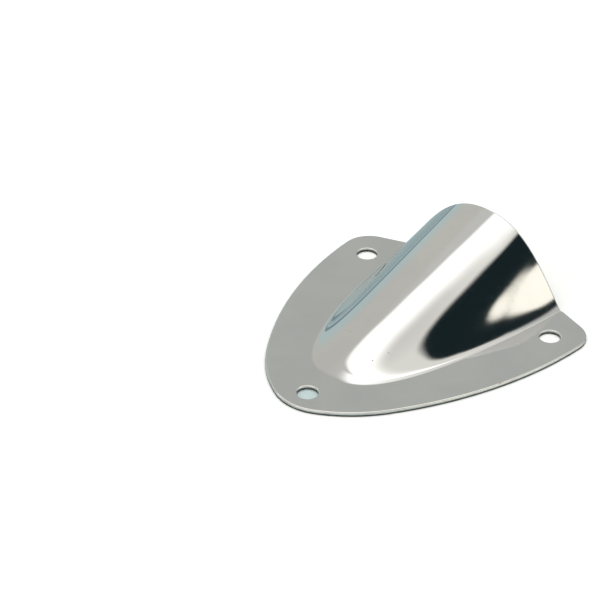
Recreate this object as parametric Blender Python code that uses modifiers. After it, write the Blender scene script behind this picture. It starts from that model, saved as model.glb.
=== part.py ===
"""Clam-shell cable vent: one stainless sheet pressed into a half-cone hood on a flat, ear-shaped flange.

Frame: metres, +Z up. The flange lies on Z = 0, X = 0 is the plane of symmetry, the rounded nose points to -Y
and the open mouth faces +Y. The origin is under the middle of the part's length and width.
"""

import math

import bmesh
import bpy

# Driving dimensions, in metres.
SHEET = 0.0008
LENGTH = 0.0592
MOUTH_Y = LENGTH / 2
NOSE_Y = -LENGTH / 2

# Flange outline, from the nose tip round to the ear: radius of each tangent arc and the heading, in degrees
# from +X, at its end. A straight edge then runs back to the foot of the hood at the mouth.
OUTLINE_ARCS = ((0.0105, 27.4), (0.0296, 55.0), (0.0785, 87.0), (0.0059, 160.8))
REAR_CORNER_X = 0.0200
ARC_STEP_DEG = 9.0
LONGEST_ARC_STEP = 0.0030

# Hood, measured on the outside of the sheet. The foot line is where its flank would meet the flange in a crease.
HOOD_HEIGHT = 0.0161
HOOD_HALF_WIDTH = 0.01935
HOOD_TOE_Y = NOSE_Y + 0.0111
HOOD_LENGTH = MOUTH_Y - HOOD_TOE_Y
FOOT_POWER = 0.42
FOOT_FULLNESS = 0.162
FOOT_EASING = 0.42
ARCH_POWER = 2.49
FLARE_POWER = 1.37
FLARE_START = 0.325
CROWN_ROUNDING = 0.15
TOE_ROUNDING = 0.061
RIDGE_CROWN = 0.035

# The bend that replaces the crease reaches this far to each side of the foot line. It is tight at the mouth.
BEND_AT_MOUTH = 0.00017
BEND_GROWTH = 0.0010
WIDEST_BEND = 0.45

# Three plain screw holes: one in the nose and one in each ear.
HOLE_RADIUS = 0.0021
HOLE_SIDES = 28
NOSE_HOLE_Y = NOSE_Y + 0.0049
EAR_HOLE_X = 0.0232
EAR_HOLE_Y = MOUTH_Y - 0.0089

# Mesh density of the pressed sheet, and how far it runs past the outline before it is trimmed.
LENGTH_ROWS = 40
ARCH_COLUMNS = 13
ROW_BUNCHING = 1.8
LAST_ROW = 1.03
BEND_RINGS = (0.35, 0.70, 1.00)
FLANGE_WIDTH = 0.0220
CUTTER_HEIGHT = 0.0300
MERGE = 0.00001


def clear_scene():
    for item in list(bpy.data.objects):
        bpy.data.objects.remove(item, do_unlink=True)


def new_collection(name):
    collection = bpy.data.collections.new(name)
    bpy.context.scene.collection.children.link(collection)
    return collection


def foot_half_width(share):
    """Half width of the hood's footprint at this share of its length, 0 at the toe and 1 at the mouth."""
    rest = 1 - share
    return HOOD_HALF_WIDTH * share**FOOT_POWER * (1 + FOOT_FULLNESS * rest * (1 - FOOT_EASING * rest))


def bend_reach(share):
    return BEND_AT_MOUTH + BEND_GROWTH * (1 - min(share, 1.0))


def ridge_height(share):
    """Height of the ridge over the flange: nearly a straight ramp that starts level with the flange."""
    toe = math.sqrt(share**2 + TOE_ROUNDING**2) - TOE_ROUNDING
    ramp = toe / (math.sqrt(1 + TOE_ROUNDING**2) - TOE_ROUNDING)
    return HOOD_HEIGHT * ((1 + RIDGE_CROWN) * ramp - RIDGE_CROWN * ramp**2)


def arch(across):
    """The cross-section without its bend: 1 on the ridge, 0 on the foot line and negative over the flange."""
    crown = CROWN_ROUNDING**ARCH_POWER
    rise = (across**2 + CROWN_ROUNDING**2) ** (ARCH_POWER / 2) - crown
    full = (1 + CROWN_ROUNDING**2) ** (ARCH_POWER / 2) - crown
    return 1 - rise / full


def bent(inside, reach):
    """The same with the corner at 0 eased into a bend this far to each side: 0 all over the flange."""
    if inside > reach:
        return inside
    through = max(0.0, (inside + reach) / (2 * reach))
    return 2 * reach * (through**6 - 3 * through**5 + 2.5 * through**4)


def flared(inside):
    """Height as a share of the ridge's. The flanks flare out a little towards the flange."""
    foot = FLARE_START**FLARE_POWER
    return ((inside + FLARE_START) ** FLARE_POWER - foot) / ((1 + FLARE_START) ** FLARE_POWER - foot)


def outer_height(x, y):
    """Height of the sheet's upper face."""
    share = (y - HOOD_TOE_Y) / HOOD_LENGTH
    if share <= 0:
        return SHEET
    half_width = foot_half_width(share)
    reach = min(bend_reach(share) * ARCH_POWER / half_width, WIDEST_BEND)
    return SHEET + ridge_height(share) * flared(bent(arch(x / half_width), reach))


def foot_normal(share):
    """Unit vector in plan that points out of the footprint."""
    if share == 0:
        return 0.0, -1.0
    rest = 1 - share
    widening = FOOT_POWER / share * foot_half_width(share)
    easing = HOOD_HALF_WIDTH * share**FOOT_POWER * FOOT_FULLNESS * (1 - 2 * FOOT_EASING * rest)
    slope = widening - easing
    size = math.hypot(HOOD_LENGTH, slope)
    return HOOD_LENGTH / size, -slope / size


def sheet_row(share):
    """Points from the ridge down one side of the hood, through the bend and out over the flange."""
    y = HOOD_TOE_Y + share * HOOD_LENGTH
    half_width = foot_half_width(share)
    plan = []
    for column in range(ARCH_COLUMNS + 1):
        plan.append((math.sin(math.pi / 2 * column / ARCH_COLUMNS) * half_width, y))
    nx, ny = foot_normal(share)
    rings = [ring * bend_reach(share) for ring in BEND_RINGS]
    for reach in (*rings, FLANGE_WIDTH):
        plan.append((half_width + reach * nx, y + reach * ny))
    return [(px, py, outer_height(px, py)) for px, py in plan]


def add_pressed_sheet(collection):
    """The upper surface of one half, mirrored and thickened downwards. It runs past the final outline."""
    shares = [LAST_ROW * (row / LENGTH_ROWS) ** ROW_BUNCHING for row in range(LENGTH_ROWS + 1)]
    form = bmesh.new()
    rows = [[form.verts.new(point) for point in sheet_row(share)] for share in shares]
    for near, far in zip(rows, rows[1:]):
        for a, b, c, d in zip(near, near[1:], far[1:], far):
            form.faces.new((a, b, c, d))
    bmesh.ops.remove_doubles(form, verts=form.verts, dist=MERGE)
    bmesh.ops.recalc_face_normals(form, faces=form.faces)
    if sum(face.normal.z for face in form.faces) < 0:
        bmesh.ops.reverse_faces(form, faces=form.faces)
    mesh = bpy.data.meshes.new("vent_shell")
    form.to_mesh(mesh)
    form.free()

    shell = bpy.data.objects.new("vent_shell", mesh)
    collection.objects.link(shell)
    mirror = shell.modifiers.new("other_half", "MIRROR")
    mirror.use_axis = (True, False, False)
    mirror.use_clip = True
    mirror.merge_threshold = MERGE
    thicken = shell.modifiers.new("sheet_thickness", "SOLIDIFY")
    thicken.thickness = SHEET
    thicken.offset = -1.0
    thicken.use_even_offset = True
    thicken.use_quality_normals = True
    return shell


def outline_half():
    """Points of the right-hand outline, from the nose tip to the foot of the hood at the mouth."""
    x, y, heading = 0.0, NOSE_Y, 0.0
    points = [(x, y)]
    for radius, end_degrees in OUTLINE_ARCS:
        end = math.radians(end_degrees)
        turn = end - heading
        by_angle = math.degrees(turn) / ARC_STEP_DEG
        by_length = radius * turn / LONGEST_ARC_STEP
        steps = math.ceil(max(by_angle, by_length))
        centre = (x - radius * math.sin(heading), y + radius * math.cos(heading))
        for step in range(1, steps + 1):
            angle = heading + turn * step / steps
            x = centre[0] + radius * math.sin(angle)
            y = centre[1] - radius * math.cos(angle)
            points.append((x, y))
        heading = end
    points.append((REAR_CORNER_X, MOUTH_Y))
    return points


def add_outline_cutter(collection):
    """A prism of the trimmed outline, made from a filled flat curve."""
    half = outline_half()
    outline = half + [(-x, y) for x, y in reversed(half[1:])]
    curve = bpy.data.curves.new("outline", "CURVE")
    curve.dimensions = "2D"
    curve.fill_mode = "BOTH"
    curve.extrude = CUTTER_HEIGHT
    spline = curve.splines.new("POLY")
    spline.points.add(len(outline) - 1)
    for point, (x, y) in zip(spline.points, outline):
        point.co = (x, y, 0, 1)
    spline.use_cyclic_u = True
    drawn = bpy.data.objects.new("outline", curve)
    collection.objects.link(drawn)
    bpy.context.view_layer.update()

    graph = bpy.context.evaluated_depsgraph_get()
    mesh = bpy.data.meshes.new_from_object(drawn.evaluated_get(graph))
    form = bmesh.new()
    form.from_mesh(mesh)
    bmesh.ops.remove_doubles(form, verts=form.verts, dist=MERGE)
    bmesh.ops.recalc_face_normals(form, faces=form.faces)
    form.to_mesh(mesh)
    form.free()
    cutter = bpy.data.objects.new("outline_cutter", mesh)
    cutter.matrix_world = drawn.matrix_world
    collection.objects.link(cutter)
    bpy.data.objects.remove(drawn, do_unlink=True)
    return cutter


def add_hole_cutter(name, x, y, collection):
    bpy.ops.mesh.primitive_cylinder_add(
        vertices=HOLE_SIDES, radius=HOLE_RADIUS, depth=CUTTER_HEIGHT, location=(x, y, 0)
    )
    cutter = bpy.context.active_object
    cutter.name = name
    for owner in cutter.users_collection:
        owner.objects.unlink(cutter)
    collection.objects.link(cutter)
    return cutter


def cut(target, cutter, operation):
    cutter.hide_render = True
    cutter.display_type = "WIRE"
    boolean = target.modifiers.new(cutter.name, "BOOLEAN")
    boolean.operation = operation
    boolean.solver = "EXACT"
    boolean.object = cutter


def stainless_material():
    material = bpy.data.materials.new("polished_stainless")
    material.use_nodes = True
    shader = material.node_tree.nodes["Principled BSDF"]
    shader.inputs["Base Color"].default_value = (0.62, 0.62, 0.60, 1.0)
    shader.inputs["Metallic"].default_value = 1.0
    shader.inputs["Roughness"].default_value = 0.14
    return material


def build():
    clear_scene()
    parts = new_collection("clamshell_cable_vent")
    cutters = new_collection("cutters")
    shell = add_pressed_sheet(parts)
    cut(shell, add_outline_cutter(cutters), "INTERSECT")
    cut(shell, add_hole_cutter("nose_hole", 0.0, NOSE_HOLE_Y, cutters), "DIFFERENCE")
    cut(shell, add_hole_cutter("ear_hole_right", EAR_HOLE_X, EAR_HOLE_Y, cutters), "DIFFERENCE")
    cut(shell, add_hole_cutter("ear_hole_left", -EAR_HOLE_X, EAR_HOLE_Y, cutters), "DIFFERENCE")
    shell.data.materials.append(stainless_material())
    shell.data.shade_smooth()
    shell.data.set_sharp_from_angle(angle=math.radians(40))


build()
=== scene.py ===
"""Looks of the clam-shell cable vent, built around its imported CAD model.

The visible piece is a finer version of the same pressed sheet: the hood runs into the flange through a real
bend, the sheared edges and punched holes have rolled upper lips, and the metal is polished outside and mill
finished inside. Units are metres, in the CAD model's frame: nose at -Y, mouth at +Y, deck plane at Z = 0.
"""

import math

import bpy
import numpy as np
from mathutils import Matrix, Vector
from mathutils.geometry import delaunay_2d_cdt


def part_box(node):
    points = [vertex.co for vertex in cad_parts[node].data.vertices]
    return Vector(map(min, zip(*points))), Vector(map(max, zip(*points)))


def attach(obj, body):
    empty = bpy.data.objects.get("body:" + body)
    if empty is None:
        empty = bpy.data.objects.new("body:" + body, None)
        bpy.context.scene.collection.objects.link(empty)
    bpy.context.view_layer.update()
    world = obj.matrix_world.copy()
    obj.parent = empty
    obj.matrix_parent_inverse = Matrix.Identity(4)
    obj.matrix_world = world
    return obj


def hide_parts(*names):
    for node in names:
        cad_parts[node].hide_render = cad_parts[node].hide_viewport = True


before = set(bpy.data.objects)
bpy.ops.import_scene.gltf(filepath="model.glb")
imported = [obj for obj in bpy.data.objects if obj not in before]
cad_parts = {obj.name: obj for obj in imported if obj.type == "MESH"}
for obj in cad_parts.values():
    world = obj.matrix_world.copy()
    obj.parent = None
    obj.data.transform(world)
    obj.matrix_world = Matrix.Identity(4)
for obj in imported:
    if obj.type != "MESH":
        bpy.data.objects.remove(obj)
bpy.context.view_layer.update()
cad_low, cad_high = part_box("vent_shell")

# The pressed sheet, as the CAD model has it.
SHEET = 0.0008
NOSE_Y = cad_low[1]
MOUTH_Y = cad_high[1]
OUTLINE_ARCS = ((0.0105, 27.4), (0.0296, 55.0), (0.0785, 87.0), (0.0059, 160.8))
REAR_CORNER_X = 0.0200
HOOD_HEIGHT = 0.0161
HOOD_HALF_WIDTH = 0.01935
HOOD_TOE_Y = NOSE_Y + 0.0111
HOOD_LENGTH = MOUTH_Y - HOOD_TOE_Y
FOOT_POWER = 0.42
FOOT_FULLNESS = 0.162
FOOT_EASING = 0.42
ARCH_POWER = 2.49
FLARE_POWER = 1.37
FLARE_START = 0.325
CROWN_ROUNDING = 0.15
TOE_ROUNDING = 0.061
RIDGE_CROWN = 0.035
BEND_AT_MOUTH = 0.00017
BEND_GROWTH = 0.0010
WIDEST_BEND = 0.45  # in shares of the arch's height
HOLE_RADIUS = 0.0021
EAR_HOLE_X = 0.0232
HOLES = (
    (0.0, NOSE_Y + 0.0049),
    (EAR_HOLE_X, MOUTH_Y - 0.0089),
    (-EAR_HOLE_X, MOUTH_Y - 0.0089),
)

# Fine shape that only the visible piece has: the radii of the rolled upper lips and of the burrs below
# them, how finely they are stepped, and the press's unevenness.
EDGE_LIP = 0.00036
EDGE_BURR = 0.00008
HOLE_LIP = 0.00024
HOLE_BURR = 0.00006
LIP_STEPS = 6
BURR_STEPS = 2
WALL_STEPS = 4
BURNISHED_STEPS = 1
MOUTH_FADE = 0.0040  # the cut turns square across Y over this distance from the mouth
RIPPLES = (  # wavelength, height, direction in degrees, phase
    (0.0170, 0.0000040, 20.0, 0.4),
    (0.0110, 0.0000020, 75.0, 2.1),
    (0.0078, 0.0000010, 130.0, 4.0),
)

OUTSIDE, BURNISHED, TORN, INSIDE = 0, 1, 2, 3  # the sheet's finishes, in the order of its material slots

# Density of the fine mesh.
LOOP_STEP = 0.00030
OUTER_GRID = 0.00028
INNER_GRID = 0.00052
BEND_RINGS = (-1.3, -1.0, -0.75, -0.50, -0.25, 0.0, 0.25, 0.50, 0.75, 1.0, 1.3)  # in reaches of the bend
RING_STEP = 0.00030
FOOT_SAMPLES = 4000
FOOT_BUNCHING = 2.2
SLOPE_STEP = 0.00001
CLEAR_OF_LOOPS = 0.00014
INSIDE_CONSTRAINTS = 1  # delaunay_2d_cdt's output type
TRIANGULATION_SCALE = 1000.0  # the triangulation works in millimetres
TRIANGULATION_TOLERANCE = 1e-5

# Guards against dividing by nothing at the toe, and against huge numbers beyond it.
SMALLEST_SHARE = 1e-7
SMALLEST_SLOPE = 1e-9
FARTHEST_OUTSIDE = 50.0


# ---------------------------------------------------------------- shape of the sheet


def foot_half_width(share):
    """Half width of the hood's footprint at this share of its length, 0 at the toe and 1 at the mouth."""
    rest = 1 - share
    return HOOD_HALF_WIDTH * share**FOOT_POWER * (1 + FOOT_FULLNESS * rest * (1 - FOOT_EASING * rest))


def bend_reach(share):
    """How far the bend runs to each side of the foot line."""
    return BEND_AT_MOUTH + BEND_GROWTH * (1 - np.minimum(share, 1.0))


def ridge_height(share):
    """Height of the ridge over the flange: nearly a straight ramp that starts level with the flange."""
    toe = np.sqrt(share**2 + TOE_ROUNDING**2) - TOE_ROUNDING
    ramp = toe / (math.sqrt(1 + TOE_ROUNDING**2) - TOE_ROUNDING)
    return HOOD_HEIGHT * ((1 + RIDGE_CROWN) * ramp - RIDGE_CROWN * ramp**2)


def inside_foot(x, y):
    """1 on the ridge, 0 on the foot line and negative over the flange."""
    share = np.clip((y - HOOD_TOE_Y) / HOOD_LENGTH, SMALLEST_SHARE, None)
    across = x / foot_half_width(share)
    crown = CROWN_ROUNDING**ARCH_POWER
    rise = (across**2 + CROWN_ROUNDING**2) ** (ARCH_POWER / 2) - crown
    full = (1 + CROWN_ROUNDING**2) ** (ARCH_POWER / 2) - crown
    return 1 - np.minimum(rise / full, FARTHEST_OUTSIDE)


def bent_arch(inside, share):
    """The arch's cross-section, with the crease at the foot opened into a bend."""
    half_width = foot_half_width(np.clip(share, SMALLEST_SHARE, None))
    reach = np.minimum(bend_reach(share) * ARCH_POWER / half_width, WIDEST_BEND)
    through = np.clip((inside + reach) / (2 * reach), 0, 1)
    eased = 2 * reach * (through**6 - 3 * through**5 + 2.5 * through**4)
    bent = np.where(inside > reach, inside, eased)
    foot = FLARE_START**FLARE_POWER
    return ((bent + FLARE_START) ** FLARE_POWER - foot) / ((1 + FLARE_START) ** FLARE_POWER - foot)


def ripple(x, y):
    """The press's slight unevenness."""
    total = np.zeros_like(x)
    for wavelength, height, degrees, phase in RIPPLES:
        along = x * math.cos(math.radians(degrees)) + y * math.sin(math.radians(degrees))
        total += height * np.sin(2 * math.pi * along / wavelength + phase)
    return total


def outer_height(x, y):
    """Height of the sheet's upper face."""
    share = np.clip((y - HOOD_TOE_Y) / HOOD_LENGTH, 0, None)
    return SHEET + ridge_height(share) * bent_arch(inside_foot(x, y), share) + ripple(x, y)


def outer_normal(x, y):
    step = SLOPE_STEP
    slope_x = (outer_height(x + step, y) - outer_height(x - step, y)) / (2 * step)
    slope_y = (outer_height(x, y + step) - outer_height(x, y - step)) / (2 * step)
    normal = np.stack([-slope_x, -slope_y, np.ones_like(slope_x)], axis=-1)
    return normal / np.linalg.norm(normal, axis=-1, keepdims=True)


def sheet_points(plan, depth):
    """(points, outer normals) this deep under the outer face. Near the mouth the sheet is cut square."""
    x, y = plan[:, 0], plan[:, 1]
    normal = outer_normal(x, y)
    near_mouth = np.clip(1 - (MOUTH_Y - y) / MOUTH_FADE, 0, 1)
    y = y + depth * normal[:, 1] * near_mouth
    normal = outer_normal(x, y)
    outer = np.stack([x, y, outer_height(x, y)], axis=-1)
    return outer - depth[:, None] * normal, normal


# ---------------------------------------------------------------- outlines in plan

MOUTH_OUTWARD = np.array([0.0, 1.0])
OTHER_SIDE = np.array([-1.0, 1.0])  # mirrors a plan across the middle


def arc_points(centre, radius, start, end):
    """(points, outward directions) of an arc between two headings, without its last point."""
    steps = max(2, math.ceil(radius * abs(end - start) / LOOP_STEP))
    angles = np.linspace(start, end, steps, endpoint=False)
    outward = np.stack([np.sin(angles), -np.cos(angles)], axis=-1)
    return centre + radius * outward, outward


def straight_points(start, end, outward):
    """The same for a straight edge."""
    steps = max(2, math.ceil(np.linalg.norm(end - start) / LOOP_STEP))
    share = np.linspace(0, 1, steps, endpoint=False)[:, None]
    return start + share * (end - start), np.tile(outward, (steps, 1))


def right_half_of_outline():
    """From the nose tip round the ear to the middle of the mouth, without that last point."""
    pieces = []
    position, heading = np.array([0.0, NOSE_Y]), 0.0
    for radius, end_degrees in OUTLINE_ARCS:
        end = math.radians(end_degrees)
        centre = position + radius * np.array([-math.sin(heading), math.cos(heading)])
        pieces.append(arc_points(centre, radius, heading, end))
        position = centre + radius * np.array([math.sin(end), -math.cos(end)])
        heading = end
    corner = np.array([REAR_CORNER_X, MOUTH_Y])
    along = (corner - position) / np.linalg.norm(corner - position)
    rear_outward = np.array([along[1], -along[0]])
    pieces.append(straight_points(position, corner, rear_outward))
    mouth, mouth_outward = straight_points(corner, np.array([0.0, MOUTH_Y]), MOUTH_OUTWARD)
    corner_outward = rear_outward + MOUTH_OUTWARD
    # Mitred, so that both edges keep their lip at the corner.
    mouth_outward[0] = corner_outward / (corner_outward @ MOUTH_OUTWARD)
    pieces.append((mouth, mouth_outward))
    points, outward = zip(*pieces)
    return np.vstack(points), np.vstack(outward)


def outline_loop():
    """(points, outward directions) round the trimmed sheet, anticlockwise from the nose tip."""
    points, outward = right_half_of_outline()
    return (
        np.vstack([points, [[0.0, MOUTH_Y]], points[:0:-1] * OTHER_SIDE]),
        np.vstack([outward, [MOUTH_OUTWARD], outward[:0:-1] * OTHER_SIDE]),
    )


def hole_loop(centre):
    """The same for a hole, clockwise, so that the sheet is on the same side of it."""
    steps = math.ceil(2 * math.pi * HOLE_RADIUS / LOOP_STEP)
    angles = np.linspace(0, 2 * math.pi, steps, endpoint=False)[::-1]
    ray = np.stack([np.cos(angles), np.sin(angles)], axis=-1)
    return np.array(centre) + HOLE_RADIUS * ray, -ray


def edge_profile(lip, burr):
    """Steps from the outer face over the rolled lip, down the cut and round the burr to the inner face.
    Each is (distance beyond the cut, depth, turn of the normal in quarter turns)."""
    steps = []
    for step in range(LIP_STEPS + 1):
        turn = math.pi / 2 * step / LIP_STEPS
        steps.append((lip * (math.sin(turn) - 1), lip * (1 - math.cos(turn)), step / LIP_STEPS))
    for step in range(1, WALL_STEPS):
        steps.append((0.0, lip + (SHEET - lip - burr) * step / WALL_STEPS, 1.0))
    for step in range(BURR_STEPS + 1):
        turn = math.pi / 2 * step / BURR_STEPS
        beyond = burr * (math.cos(turn) - 1)
        depth = SHEET - burr + burr * math.sin(turn)
        steps.append((beyond, depth, 1.0 + step / BURR_STEPS))
    steps.append((-lip, SHEET, 2.0))
    return steps


def finish_of_strip(level):
    """A punched edge is polished over its lip, burnished some way down, and torn below that."""
    if level < LIP_STEPS // 2:
        return OUTSIDE
    if level < LIP_STEPS + BURNISHED_STEPS:
        return BURNISHED
    if level < LIP_STEPS + WALL_STEPS + BURR_STEPS:
        return TORN
    return INSIDE


# ---------------------------------------------------------------- the fine mesh


def bend_points():
    """Rings of points on both sides of the foot line, close together where the sheet bends."""
    rough = np.linspace(0, 1, FOOT_SAMPLES) ** FOOT_BUNCHING
    x = foot_half_width(rough)
    y = HOOD_TOE_Y + rough * HOOD_LENGTH
    length = np.concatenate([[0], np.cumsum(np.hypot(np.diff(x), np.diff(y)))])
    share = np.interp(np.arange(RING_STEP, length[-1], RING_STEP), length, rough)
    foot = np.stack([foot_half_width(share), HOOD_TOE_Y + share * HOOD_LENGTH], axis=-1)
    along = np.gradient(foot, axis=0)
    out = np.stack([along[:, 1], -along[:, 0]], axis=-1) / np.hypot(along[:, 0], along[:, 1])[:, None]
    half = np.vstack([foot + ring * bend_reach(share)[:, None] * out for ring in BEND_RINGS])
    half = half[half[:, 0] > RING_STEP / 2]
    return np.vstack([half, half * OTHER_SIDE])


def distance_to_foot(plan):
    """About how far each point is from the foot line."""
    step = SLOPE_STEP
    x, y = plan[:, 0], plan[:, 1]
    value = inside_foot(x, y)
    slope_x = (inside_foot(x + step, y) - inside_foot(x - step, y)) / (2 * step)
    slope_y = (inside_foot(x, y + step) - inside_foot(x, y - step)) / (2 * step)
    return np.abs(value) / np.maximum(np.hypot(slope_x, slope_y), SMALLEST_SLOPE)


def grid_points(spacing):
    """A grid of even triangles over the whole sheet."""
    rows = np.arange(NOSE_Y, MOUTH_Y, spacing * math.sqrt(3) / 2)
    columns = np.arange(cad_low[0], cad_high[0], spacing)
    grid = []
    for index, y in enumerate(rows):
        shift = spacing / 2 * (index % 2)
        grid.append(np.stack([columns + shift, np.full_like(columns, y)], axis=-1))
    return np.vstack(grid)


def keep_inside(plan, loops, clear):
    """The points inside the sheet's outline and outside its holes, this far from every loop."""
    inside = np.zeros(len(plan), bool)
    nearest = np.full(len(plan), np.inf)
    for loop in loops:
        start, end = loop, np.roll(loop, -1, axis=0)
        crossed = np.zeros(len(plan), int)
        for (x0, y0), (x1, y1) in zip(start, end):
            spans = (y0 > plan[:, 1]) != (y1 > plan[:, 1])
            if spans.any():
                at = x0 + (plan[:, 1] - y0) * (x1 - x0) / (y1 - y0 if y1 != y0 else 1.0)
                crossed += spans & (plan[:, 0] < at)
            nearest = np.minimum(nearest, np.hypot(plan[:, 0] - x0, plan[:, 1] - y0))
        inside ^= crossed % 2 == 1
    return plan[inside & (nearest > clear)]


def triangulate(loops, plan):
    """Triangles over the plan points, which start with the loops' points. The holes are left open."""
    edges = []
    loop_of = np.full(len(plan), -1)
    first = 0
    for index, loop in enumerate(loops):
        count = len(loop)
        edges += [(first + i, first + (i + 1) % count) for i in range(count)]
        loop_of[first : first + count] = index
        first += count
    scaled = [Vector(point * TRIANGULATION_SCALE) for point in plan]
    made = delaunay_2d_cdt(scaled, edges, [], INSIDE_CONSTRAINTS, TRIANGULATION_TOLERANCE)
    order = np.array([origin[0] for origin in made[3]])
    triangles = order[np.array(made[2])]
    corner = loop_of[triangles]
    in_hole = (corner[:, 0] > 0) & (corner[:, 0] == corner[:, 1]) & (corner[:, 1] == corner[:, 2])
    return triangles[~in_hole]


def outer_face(loops):
    """(plan points, triangles) of the outer face, with rings of points along the bend."""
    bend = keep_inside(bend_points(), loops, CLEAR_OF_LOOPS)
    grid = keep_inside(grid_points(OUTER_GRID), loops, max(CLEAR_OF_LOOPS, OUTER_GRID / 2))
    share = (grid[:, 1] - HOOD_TOE_Y) / HOOD_LENGTH
    reach = max(BEND_RINGS) * bend_reach(np.maximum(share, 0)) + OUTER_GRID / 2
    grid = grid[(distance_to_foot(grid) > reach) | (share < reach / HOOD_LENGTH)]
    plan = np.vstack([*loops, bend, grid])
    return plan, triangulate(loops, plan)


def inner_face(loops):
    """The same for the inner face, with a plain grid."""
    grid = keep_inside(grid_points(INNER_GRID), loops, max(CLEAR_OF_LOOPS, INNER_GRID / 2))
    plan = np.vstack([*loops, grid])
    return plan, triangulate(loops, plan)


class SheetForm:
    """The sheet's points, their normals, and its faces with the finish of each."""

    def __init__(self):
        self.points = []
        self.normals = []
        self.faces = []
        self.finishes = []
        self.count = 0

    def add_points(self, points, normals):
        """Returns the new points' numbers."""
        self.points.append(points)
        self.normals.append(normals)
        numbers = self.count + np.arange(len(points))
        self.count += len(points)
        return numbers

    def add_faces(self, faces, finish):
        self.faces += faces.tolist()
        self.finishes += [finish] * len(faces)

    def add_rim(self, rim, outer_ring, inner_ring):
        """Joins the two faces along one loop: over the lip, down the cut and round the burr."""
        plan, outward, profile = rim
        sideways = np.hstack([outward, np.zeros((len(plan), 1))])
        rings = [outer_ring]
        for beyond, depth, quarter_turns in profile[1:-1]:
            ring, up = sheet_points(plan + beyond * outward, np.full(len(plan), depth))
            turn = quarter_turns * math.pi / 2
            normal = math.cos(turn) * up + math.sin(turn) * sideways
            normal /= np.linalg.norm(normal, axis=1, keepdims=True)
            rings.append(self.add_points(ring, normal))
        rings.append(inner_ring)
        for level, (upper, lower) in enumerate(zip(rings, rings[1:])):
            quads = np.stack([upper, lower, np.roll(lower, -1), np.roll(upper, -1)], axis=1)
            self.add_faces(quads, finish_of_strip(level))

    def to_object(self, name):
        mesh = bpy.data.meshes.new(name)
        mesh.from_pydata(np.vstack(self.points).tolist(), [], self.faces)
        mesh.polygons.foreach_set("material_index", self.finishes)
        mesh.shade_smooth()
        mesh.normals_split_custom_set_from_vertices(np.vstack(self.normals).tolist())
        mesh.update()
        made = bpy.data.objects.new(name, mesh)
        bpy.context.scene.collection.objects.link(made)
        return made


def build_sheet():
    rims = [(*outline_loop(), edge_profile(EDGE_LIP, EDGE_BURR))]
    rims += [(*hole_loop(centre), edge_profile(HOLE_LIP, HOLE_BURR)) for centre in HOLES]
    inset = [points + profile[0][0] * outward for points, outward, profile in rims]
    outer_plan, outer_triangles = outer_face(inset)
    inner_plan, inner_triangles = inner_face(inset)

    form = SheetForm()
    points, normals = sheet_points(outer_plan, np.zeros(len(outer_plan)))
    outer = form.add_points(points, normals)
    points, normals = sheet_points(inner_plan, np.full(len(inner_plan), SHEET))
    inner = form.add_points(points, -normals)
    form.add_faces(outer_triangles, OUTSIDE)
    form.add_faces(inner[inner_triangles[:, ::-1]], INSIDE)
    first = 0
    for rim in rims:
        last = first + len(rim[0])
        form.add_rim(rim, outer[first:last], inner[first:last])
        first = last
    return form.to_object("pressed_sheet")


# ---------------------------------------------------------------- shader trees


class Field:
    """A number in a shader tree that changes over the surface, written with ordinary arithmetic."""

    def __init__(self, socket):
        self.socket = socket

    def _math(self, operation, *others):
        node = self.socket.id_data.nodes.new("ShaderNodeMath")
        node.operation = operation
        for index, value in enumerate((self, *others)):
            put(node.inputs[index], value)
        return Field(node.outputs[0])

    def __add__(self, other):
        return self._math("ADD", other)

    def __sub__(self, other):
        return self._math("SUBTRACT", other)

    def __mul__(self, other):
        return self._math("MULTIPLY", other)

    def __truediv__(self, other):
        return self._math("DIVIDE", other)

    def at_least(self, other):
        return self._math("MAXIMUM", other)

    def size(self):
        """Without its sign."""
        return self._math("ABSOLUTE")

    def between(self, low, high, low_value=0.0, high_value=1.0):
        """A smooth step from low_value, where this is low, to high_value, where it is high."""
        node = self.socket.id_data.nodes.new("ShaderNodeMapRange")
        node.interpolation_type = "SMOOTHSTEP"
        put(node.inputs["Value"], self)
        for name, value in (
            ("From Min", low),
            ("From Max", high),
            ("To Min", low_value),
            ("To Max", high_value),
        ):
            put(node.inputs[name], value)
        return Field(node.outputs[0])


def put(socket, value):
    """Links a field or an output to the socket, or sets the socket's own value."""
    value = value.socket if isinstance(value, Field) else value
    if isinstance(value, bpy.types.NodeSocket):
        socket.id_data.links.new(value, socket)
    else:
        socket.default_value = value


def add_node(tree, kind, inputs=(), **settings):
    node = tree.nodes.new(kind)
    for name, value in settings.items():
        setattr(node, name, value)
    for name, value in dict(inputs).items():
        put(node.inputs[name], value)
    return node


def mix_colours(tree, share, first, second):
    """The first colour where share is 0, and the second where it is 1."""
    node = tree.nodes.new("ShaderNodeMix")
    node.data_type = "RGBA"
    for name, value in (("Factor_Float", share), ("A_Color", first), ("B_Color", second)):
        socket = next(s for s in node.inputs if s.identifier == name)
        put(socket, (*value, 1.0) if isinstance(value, tuple) else value)
    return next(s for s in node.outputs if s.identifier == "Result_Color")


def object_position(tree, stretch=(1, 1, 1), turn=0.0):
    """Positions on the piece in metres, with each axis scaled, for patterns longer one way than another."""
    coordinates = add_node(tree, "ShaderNodeTexCoord")
    inputs = {"Vector": coordinates.outputs["Object"], "Rotation": (0, 0, turn), "Scale": stretch}
    return add_node(tree, "ShaderNodeMapping", inputs).outputs[0]


def noise(tree, position, size, detail=2.0, roughness=0.5):
    """Noise from 0 to 1 with features about this big, in metres."""
    inputs = {"Vector": position, "Scale": 1 / size, "Detail": detail, "Roughness": roughness}
    return Field(add_node(tree, "ShaderNodeTexNoise", inputs).outputs[0])


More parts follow.
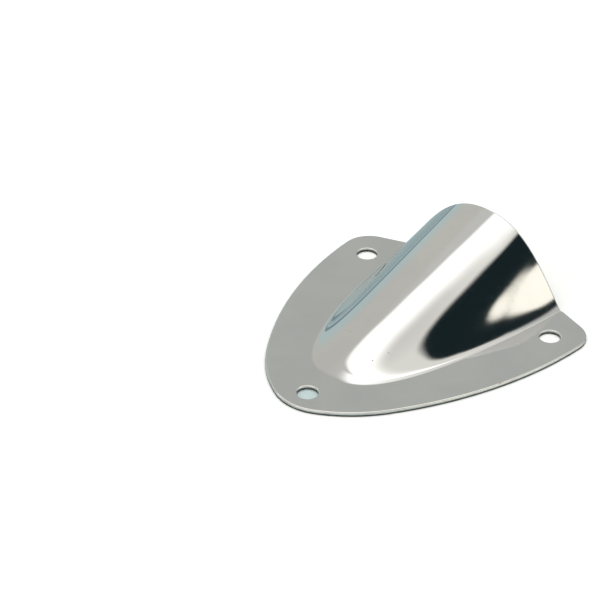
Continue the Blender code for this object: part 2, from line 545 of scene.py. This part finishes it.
def dots(tree, position, spacing, radius, share):
    """1 inside small round spots this far apart, of which only this share is there, and 0 elsewhere."""
    cells = add_node(tree, "ShaderNodeTexVoronoi", {"Vector": position, "Scale": 1 / spacing})
    distance = Field(cells.outputs["Distance"])
    chance = Field(add_node(tree, "ShaderNodeSeparateColor", {"Color": cells.outputs["Color"]}).outputs[0])
    spot = distance.between(radius / spacing * 0.6, radius / spacing, 1.0, 0.0)
    return spot * chance.between(share, share + 0.01, 1.0, 0.0)


def near(tree, position, centre, radius):
    """1 close to this place in plan, falling to 0 at the radius."""
    flat = add_node(tree, "ShaderNodeVectorMath", {0: position, 1: (1.0, 1.0, 0.0)}, operation="MULTIPLY")
    ends = {0: flat.outputs[0], 1: (*centre, 0.0)}
    gap = add_node(tree, "ShaderNodeVectorMath", ends, operation="DISTANCE")
    return Field(gap.outputs["Value"]).between(radius * 0.5, radius, 1.0, 0.0)


def bumps(tree, height, distance):
    """Normals bent by this height field, whose unit is this distance in metres."""
    inputs = {"Height": height, "Distance": distance, "Strength": 1.0}
    return add_node(tree, "ShaderNodeBump", inputs).outputs[0]


def metal(tree, colour, roughness, normal):
    shader = tree.nodes["Principled BSDF"]
    put(shader.inputs["Base Color"], colour)
    put(shader.inputs["Roughness"], roughness)
    put(shader.inputs["Normal"], normal)
    shader.inputs["Metallic"].default_value = 1.0


def new_material(name):
    material = bpy.data.materials.new(name)
    material.use_nodes = True
    return material, material.node_tree


# ---------------------------------------------------------------- finishes

# Colours, in pairs where a finish drifts between two.
POLISHED_STEEL = ((0.625, 0.622, 0.612), (0.655, 0.650, 0.636))
HAZE = (0.600, 0.592, 0.575)
SPECK = (0.28, 0.26, 0.23)
BURNISHED_STEEL = ((0.90, 0.86, 0.80), (0.76, 0.71, 0.65))
# The torn colours are partly the cut's real dull grey and partly painted shade, darkened for the shade under
# the edge and inside the holes.
TORN_STEEL_AND_PAINTED_SHADE = ((0.22, 0.20, 0.175), (0.11, 0.096, 0.082))
MILL_STEEL = ((0.57, 0.565, 0.55), (0.47, 0.455, 0.43))
PIT = (0.22, 0.20, 0.18)
FLOOR_SEEN = ((0.93, 0.93, 0.93), (0.95, 0.95, 0.95))
FLOOR_MIRRORED = ((0.31, 0.41, 0.44), (0.34, 0.44, 0.47))
FLOOR_IN_NOSE_HOLE = (0.50, 0.60, 0.61)
NOSE_HOLE_PATCH = 0.0040

SCUFFS = (  # (place in plan, radius) of the few marks that handling left
    ((0.0257, 0.0016), 0.00045),
    ((0.0055, -0.0074), 0.00022),
    ((0.0041, -0.0105), 0.00022),
    ((-0.0045, -0.0069), 0.00018),
    ((0.0118, -0.0152), 0.00014),
)


def polished_outside():
    """Mirror polish: faint buffing lines, a slight haze that varies, and a few specks and pinholes."""
    material, tree = new_material("polished_stainless")
    here = object_position(tree)
    cloud = noise(tree, here, 0.011, detail=3.0)
    haze = noise(tree, here, 0.0035, detail=4.0, roughness=0.6)
    along = object_position(tree, stretch=(1.0, 0.03, 1.0), turn=math.radians(8))
    buffing = noise(tree, along, 0.00022, detail=3.0, roughness=0.65)
    grain = noise(tree, here, 0.0007, detail=2.0)
    specks = dots(tree, here, 0.0045, 0.00016, 0.10)
    pinholes = dots(tree, here, 0.0019, 0.00006, 0.14)
    marks = specks.at_least(pinholes)
    for centre, radius in SCUFFS:
        marks = marks.at_least(near(tree, here, centre, radius))

    steel = mix_colours(tree, cloud.between(0.35, 0.65), *POLISHED_STEEL)
    steel = mix_colours(tree, haze.between(0.55, 0.80, 0.0, 0.35), steel, HAZE)
    steel = mix_colours(tree, marks * 0.75, steel, SPECK)
    roughness = haze * 0.014 + buffing * 0.012 + cloud * 0.010 + marks * 0.30 + 0.016
    height = buffing * 0.30 + grain * 0.30 - marks * 3.0
    metal(tree, steel, roughness, bumps(tree, height, 0.0000010))
    return material


def burnished_edge():
    """The upper part of the cut, rubbed bright by the punch, with fine lines across the sheet's thickness."""
    material, tree = new_material("burnished_edge")
    here = object_position(tree)
    across = object_position(tree, stretch=(1.0, 1.0, 0.06))
    lines = noise(tree, across, 0.00012, detail=2.0)
    grime = noise(tree, here, 0.0026, detail=4.0, roughness=0.6)
    steel = mix_colours(tree, grime.between(0.40, 0.75), *BURNISHED_STEEL)
    roughness = lines * 0.12 + grime * 0.12 + 0.36
    metal(tree, steel, roughness, bumps(tree, lines, 0.000004))
    return material


def torn_edge_and_painted_shade():
    """The lower part of the cut, which broke away: rough and grey, its colour darkened as painted shade for
    the shade under the edge and inside the holes, and darker still in patches.
    """
    material, tree = new_material("torn_edge_and_painted_shade")
    here = object_position(tree)
    grain = noise(tree, here, 0.00014, detail=4.0, roughness=0.65)
    grime = noise(tree, here, 0.0018, detail=4.0, roughness=0.6)
    # The noise drifts the colour in patches towards the darker torn colour; both torn colours carry painted
    # shade.
    steel = mix_colours(tree, grime.between(0.30, 0.70), *TORN_STEEL_AND_PAINTED_SHADE)
    roughness = grain * 0.20 + 0.36
    metal(tree, steel, roughness, bumps(tree, grain, 0.000020))
    return material


def mill_finish_inside():
    """The face that was never polished: rolled grain along the sheet, soft stains and small pits."""
    material, tree = new_material("mill_finish_inside")
    here = object_position(tree)
    rolled = object_position(tree, stretch=(1.0, 0.04, 0.4))
    grain = noise(tree, rolled, 0.00016, detail=3.0, roughness=0.6)
    stain = noise(tree, here, 0.0060, detail=4.0, roughness=0.55)
    pits = dots(tree, here, 0.0014, 0.00007, 0.25)
    steel = mix_colours(tree, stain.between(0.35, 0.70), *MILL_STEEL)
    steel = mix_colours(tree, pits * 0.7, steel, PIT)
    roughness = grain * 0.16 + stain * 0.12 + pits * 0.2 + 0.20
    metal(tree, steel, roughness, bumps(tree, grain - pits, 0.000004))
    return material


def pale_table():
    """White to the camera. The metal mirrors the pale blue table that the vent was photographed on, and the
    nose hole shows it."""
    material, tree = new_material("pale_floor")
    here = object_position(tree)
    mottle = noise(tree, here, 0.09, detail=2.0)
    white = mix_colours(tree, mottle, *FLOOR_SEEN)
    blue = mix_colours(tree, mottle, *FLOOR_MIRRORED)
    under_nose_hole = near(tree, here, HOLES[0], NOSE_HOLE_PATCH)
    white = mix_colours(tree, under_nose_hole, white, FLOOR_IN_NOSE_HOLE)
    seen = Field(add_node(tree, "ShaderNodeLightPath").outputs["Is Camera Ray"])
    shader = tree.nodes["Principled BSDF"]
    put(shader.inputs["Base Color"], mix_colours(tree, seen, blue, white))
    shader.inputs["Roughness"].default_value = 0.9
    shader.inputs["Specular IOR Level"].default_value = 0.1
    return material


# ---------------------------------------------------------------- studio

FLOOR_SIDE = 16.0
FLOOR_DROP = 0.00005  # the floor lies this far under the flange, so that the two faces don't coincide

CAMERA_AZIMUTH = 41.1
CAMERA_ELEVATION = 33.0
CAMERA_DISTANCE = 0.500
CAMERA_LENS = 150.0
CAMERA_AIM = Vector((-0.0229, -0.0006, 0.0))  # the vent stands right of the middle, as in the photograph

# The studio round the object, as radiance. Overhead places are on a ceiling one unit up: x to the object's
# right, y towards its mouth. Heights are the sine of the angle over the floor. A pair of places is where a
# soft edge starts and where it ends.
HORIZON = 0.06
WHITE = (1.0, 1.0, 1.0)
TABLE = (0.50, 0.64, 0.67)
TABLE_TOP = (0.03, 0.06)
TABLE_EDGE = (0.27, 0.36, 0.40)
TABLE_EDGE_TOP = (0.09, 0.13)

# The wall on the left: blue low down, warm higher up, grey towards the mouth and pale where it reaches
# overhead.
BLUE_WALL = (0.60, 0.73, 0.74)
WARM_WALL = (0.71, 0.705, 0.665)
WALL_WARMS = (0.20, 0.50)
GREY_WALL = (0.59, 0.606, 0.587)
WALL_GREYS = (0.80, 1.10)  # in y for each unit to the left
LEAST_LEFT = 0.05
NEAR_WALL = (0.76, 0.76, 0.74)
NEAR_WALL_START = (-0.78, -0.60)
WALL_CORNER = (1.75, 2.00)  # in y and x together
LEFT_SIDE = (-0.20, 0.00)

# The ceiling: dim overhead, lit towards the mouth and grey farther on. Its bright panel ends in a slanted
# fade.
DIM_CEILING = (0.91, 0.895, 0.86)
LIT_CEILING = (1.04, 1.03, 0.98)
CEILING_BRIGHTENS = (0.11, 0.20)
BACK_CEILING = (0.70, 0.71, 0.69)
CEILING_GREYS = (0.60, 1.10)
SOFTBOX = (1.85, 1.85, 1.80)
GLOW_START = (0.27, 0.33)
GLOW_END = (-0.28, 0.30)
GLOW_SLANT = 1.1
SLANT_START = 0.25

# Edges of the ceiling's parts. A line is x where it meets y = 0, and how far x goes over for each unit of y.
WALL_LINE = (-1.18, 4.5)
WALL_SOFTNESS = 0.08
WALL_LAST_X = -0.20
FAR_WALL_X = -0.57
FAR_WALL_SLANT = -0.25
FAR_WALL_EDGE = (-0.07, 0.10)
FLAG_NEAR_LINE = (0.082, 1.54)
FLAG_FAR_LINE = (0.376, 1.23)
FLAG_BULGES = (  # places along y, and how far the flag's edge is moved before and after them
    (0.05, 0.30, 0.09, 0.0),
    (0.22, 0.36, 0.0, 0.035),
    (0.38, 0.50, 0.0, -0.05),
)
FLAG_SOFTNESS = 0.035
CARD_START = (0.55, 0.85, 0.52, 0.577)  # places along y, and where the card's edge starts before and after
CARD_SLANT = 1.185
CARD_SOFTNESS = 0.016
FLAG_END = (-0.15, 0.10)  # in y, for the flag and the card
FLAG = (0.012, 0.023, 0.027)
CREAM_CARD = (1.58, 1.53, 1.37)

# What the photograph doesn't show: grey low down behind the mouth, and in front of the nose a soft box
# between grey walls, with a black strip on the right and a grey lower part.
LOW_BACK = (0.38, 0.39, 0.39)
LOW_BACK_START = (1.20, 2.00)
FRONT_START = (-0.70, -0.45)
FRONT_BOX = (1.3, 1.3, 1.3)
FRONT_BOX_EDGE = (0.45, 0.75)
FRONT_STRIP_START = (1.0, 1.2)
FRONT_STRIP_END = (1.8, 2.0)
LOW_FRONT = (0.50, 0.52, 0.53)
LOW_FRONT_TOP = (0.22, 0.40)

# The nearest soft box: a flat card over the object. Its lit band runs slantwise, with a slow fade towards the
# nose, a sharp stop towards the mouth and an end on the right.
BOX_HEIGHT = 0.300
BOX_HALF_SIDE = 0.60
BOX_SLANT = 0.40
BOX_FADE = (0.033, 0.078)
BOX_STOP = (0.121, 0.138)
BOX_END = (0.09, 0.15)

FILL_POWER = 9.0
FILL_SIDE = 1.6
FILL_HEIGHT = 1.4


def flat_square(name, half_side, material):
    """A level square with its middle at the origin."""
    corners = [(-1, -1), (1, -1), (1, 1), (-1, 1)]
    mesh = bpy.data.meshes.new(name)
    mesh.from_pydata([(x * half_side, y * half_side, 0) for x, y in corners], [], [(0, 1, 2, 3)])
    mesh.materials.append(material)
    square = bpy.data.objects.new(name, mesh)
    bpy.context.scene.collection.objects.link(square)
    return square


def add_floor():
    floor = flat_square("floor", FLOOR_SIDE / 2, pale_table())
    floor.location.z = cad_low[2] - FLOOR_DROP


def past_line(x, y, start, slant):
    """How far a place is to the right of an edge that starts at this x and slants by this much for each y."""
    return x - y * slant - start


def left_wall(tree, x, y, height):
    """The colour of the wall on the left in this direction."""
    wall = mix_colours(tree, height.between(*WALL_WARMS), BLUE_WALL, WARM_WALL)
    towards_mouth = y / (x * -1).at_least(LEAST_LEFT)
    wall = mix_colours(tree, towards_mouth.between(*WALL_GREYS), wall, GREY_WALL)
    return mix_colours(tree, x.between(*NEAR_WALL_START), wall, NEAR_WALL)


def lit_ceiling(tree, x, y):
    """The colour of the ceiling and its bright panel."""
    lit = mix_colours(tree, y.between(*CEILING_BRIGHTENS), DIM_CEILING, LIT_CEILING)
    lit = mix_colours(tree, y.between(*CEILING_GREYS), lit, BACK_CEILING)
    slanted = x + (y - SLANT_START).at_least(0) * GLOW_SLANT
    panel = slanted.between(*GLOW_END, 1.0, 0.0) * y.between(*GLOW_START)
    return mix_colours(tree, panel, lit, SOFTBOX)


def past_wall(x, y):
    """0 on the left wall and 1 on the ceiling."""
    near_edge = past_line(x, y, *WALL_LINE).at_least(x - WALL_LAST_X)
    far_edge = x - FAR_WALL_X - (y - SLANT_START).at_least(0) * FAR_WALL_SLANT
    near_part = near_edge.between(-WALL_SOFTNESS, WALL_SOFTNESS)
    return near_part.at_least(far_edge.between(*FAR_WALL_EDGE) * y.between(*GLOW_START))


def past_flag_edge(x, y):
    """0 on the ceiling and 1 on the black flag, whose edge is bent and bulges a little near the nose."""
    edge = past_line(x, y, *FLAG_NEAR_LINE)
    for bulge in FLAG_BULGES:
        edge = edge + y.between(*bulge)
    edge = edge.at_least(past_line(x, y, *FLAG_FAR_LINE))
    return edge.between(-FLAG_SOFTNESS, FLAG_SOFTNESS)


def past_card_edge(x, y):
    """0 on the black flag and 1 on the cream card beyond it."""
    edge = past_line(x, y, y.between(*CARD_START), CARD_SLANT)
    return edge.between(-CARD_SOFTNESS, CARD_SOFTNESS)


def front_of_studio(tree, x, height):
    """The colour of what is in front of the nose."""
    front = mix_colours(tree, x.size().between(*FRONT_BOX_EDGE), FRONT_BOX, GREY_WALL)
    strip = x.between(*FRONT_STRIP_START) * x.between(*FRONT_STRIP_END, 1.0, 0.0)
    front = mix_colours(tree, strip, front, FLAG)
    return mix_colours(tree, height.between(*LOW_FRONT_TOP), LOW_FRONT, front)


def studio_colour(tree, x, y, height):
    """All of it, from the ceiling down to the table."""
    wall = left_wall(tree, x, y, height)
    colour = mix_colours(tree, past_wall(x, y), wall, lit_ceiling(tree, x, y))
    corner = (y + x.size()).between(*WALL_CORNER) * x.between(*LEFT_SIDE, 1.0, 0.0)
    colour = mix_colours(tree, corner, colour, wall)
    colour = mix_colours(tree, (y - x.size()).between(*LOW_BACK_START), colour, LOW_BACK)
    within_end = y.between(*FLAG_END)
    colour = mix_colours(tree, past_flag_edge(x, y) * within_end, colour, FLAG)
    colour = mix_colours(tree, past_card_edge(x, y) * within_end, colour, CREAM_CARD)
    in_front = y.between(*FRONT_START, 1.0, 0.0)
    colour = mix_colours(tree, in_front, colour, front_of_studio(tree, x, height))
    colour = mix_colours(tree, height.between(*TABLE_EDGE_TOP, 1.0, 0.0), colour, TABLE_EDGE)
    return mix_colours(tree, height.between(*TABLE_TOP, 1.0, 0.0), colour, TABLE)


def add_studio():
    """What the metal mirrors. The camera itself sees only plain white."""
    world = bpy.data.worlds.new("studio")
    bpy.context.scene.world = world
    world.use_nodes = True
    tree = world.node_tree
    direction = add_node(tree, "ShaderNodeTexCoord").outputs["Generated"]
    parts = add_node(tree, "ShaderNodeSeparateXYZ", {"Vector": direction}).outputs
    height = Field(parts["Z"])
    up = height.at_least(HORIZON)
    colour = studio_colour(tree, Field(parts["X"]) / up, Field(parts["Y"]) / up, height)
    camera_ray = Field(add_node(tree, "ShaderNodeLightPath").outputs["Is Camera Ray"])
    put(tree.nodes["Background"].inputs["Color"], mix_colours(tree, camera_ray, colour, WHITE))


def lit_band():
    """The soft box's material: light where the band is and clear elsewhere."""
    material, tree = new_material("soft_box")
    tree.nodes.remove(tree.nodes["Principled BSDF"])
    across = add_node(tree, "ShaderNodeSeparateXYZ", {"Vector": object_position(tree)}).outputs
    band = Field(across["Y"]) - Field(across["X"]) * BOX_SLANT
    end = Field(across["X"]).between(*BOX_END, 1.0, 0.0)
    lit = band.between(*BOX_FADE) * band.between(*BOX_STOP, 1.0, 0.0) * end
    clear = add_node(tree, "ShaderNodeBsdfTransparent").outputs[0]
    glow = add_node(tree, "ShaderNodeEmission", {"Color": (*SOFTBOX, 1.0)}).outputs[0]
    mixed = add_node(tree, "ShaderNodeMixShader", {0: lit, 1: clear, 2: glow}).outputs[0]
    tree.links.new(mixed, tree.nodes["Material Output"].inputs["Surface"])
    return material


def add_soft_box():
    box = flat_square("soft_box", BOX_HALF_SIDE, lit_band())
    box.location.z = BOX_HEIGHT
    box.visible_camera = False
    box.visible_diffuse = False
    box.visible_shadow = False


def add_fill():
    """Soft light from above, which brightens the floor. The metal doesn't mirror it."""
    data = bpy.data.lights.new("fill", "AREA")
    data.size = FILL_SIDE
    data.energy = FILL_POWER
    fill = bpy.data.objects.new("fill", data)
    fill.location.z = FILL_HEIGHT
    fill.visible_glossy = False
    fill.visible_camera = False
    bpy.context.scene.collection.objects.link(fill)


def add_camera():
    azimuth, elevation = math.radians(CAMERA_AZIMUTH), math.radians(CAMERA_ELEVATION)
    level = math.cos(elevation)
    back = Vector((math.sin(azimuth) * level, -math.cos(azimuth) * level, math.sin(elevation)))
    data = bpy.data.cameras.new("camera")
    data.lens = CAMERA_LENS
    data.clip_start = 0.01
    data.clip_end = 50.0
    camera = bpy.data.objects.new("camera", data)
    camera.location = CAMERA_AIM + back * CAMERA_DISTANCE
    camera.rotation_mode = "QUATERNION"
    camera.rotation_quaternion = (-back).to_track_quat("-Z", "Y")
    bpy.context.scene.collection.objects.link(camera)
    bpy.context.scene.camera = camera


# ---------------------------------------------------------------- scene

bpy.context.scene.view_settings.view_transform = "Standard"
sheet = build_sheet()
for finish in (polished_outside(), burnished_edge(), torn_edge_and_painted_shade(), mill_finish_inside()):
    sheet.data.materials.append(finish)
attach(sheet, "root")
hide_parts("vent_shell")
add_floor()
add_studio()
add_soft_box()
add_fill()
add_camera()
